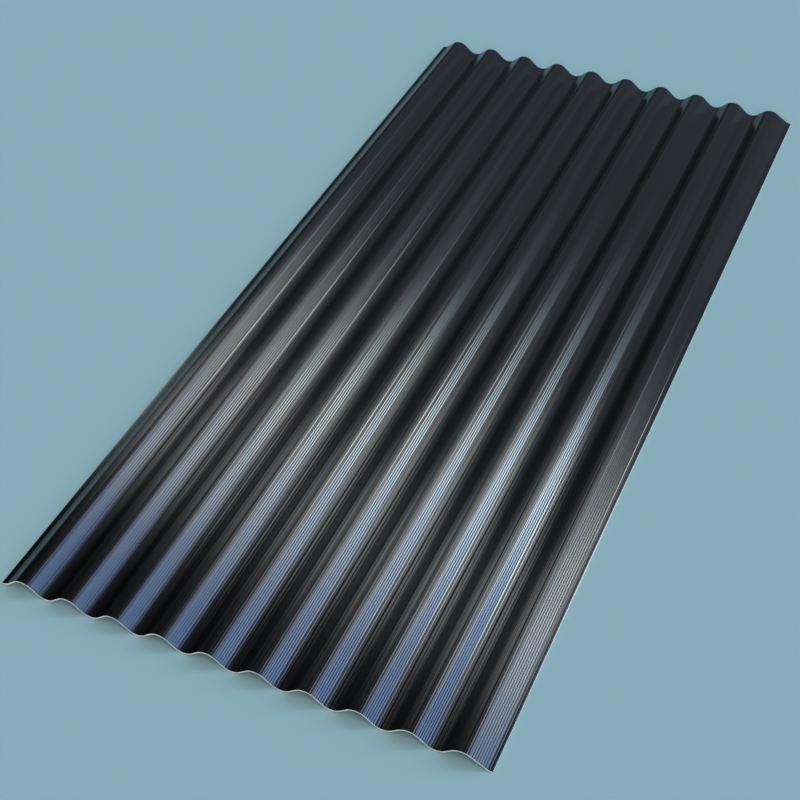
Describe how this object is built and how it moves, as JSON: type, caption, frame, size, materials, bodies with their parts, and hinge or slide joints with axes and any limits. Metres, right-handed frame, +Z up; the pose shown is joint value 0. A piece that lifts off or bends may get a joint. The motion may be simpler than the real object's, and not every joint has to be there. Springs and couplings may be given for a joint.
{
  "type": "corrugated roofing sheet",
  "caption": "Corrugated plastic roofing sheet with parallel waves along its length and a glossy, finely ribbed black weather side; laid over purlins to shed rain.",
  "frame": {"origin": "under the middle of the sheet, on the surface that the trough lines lie on", "axes": "+Y along the waves, +X across them towards the edge with the widest flank, +Z up out of the weather side"},
  "size_m": [0.705, 1.5, 0.02],
  "materials": {
    "sheet_plastic": "glossy black with fine lengthwise ribs on the weather side, pale where the edges are cut"
  },
  "bodies": {
    "root": {"roofing_sheet": "sheet_plastic"}
  },
  "joints": []
}
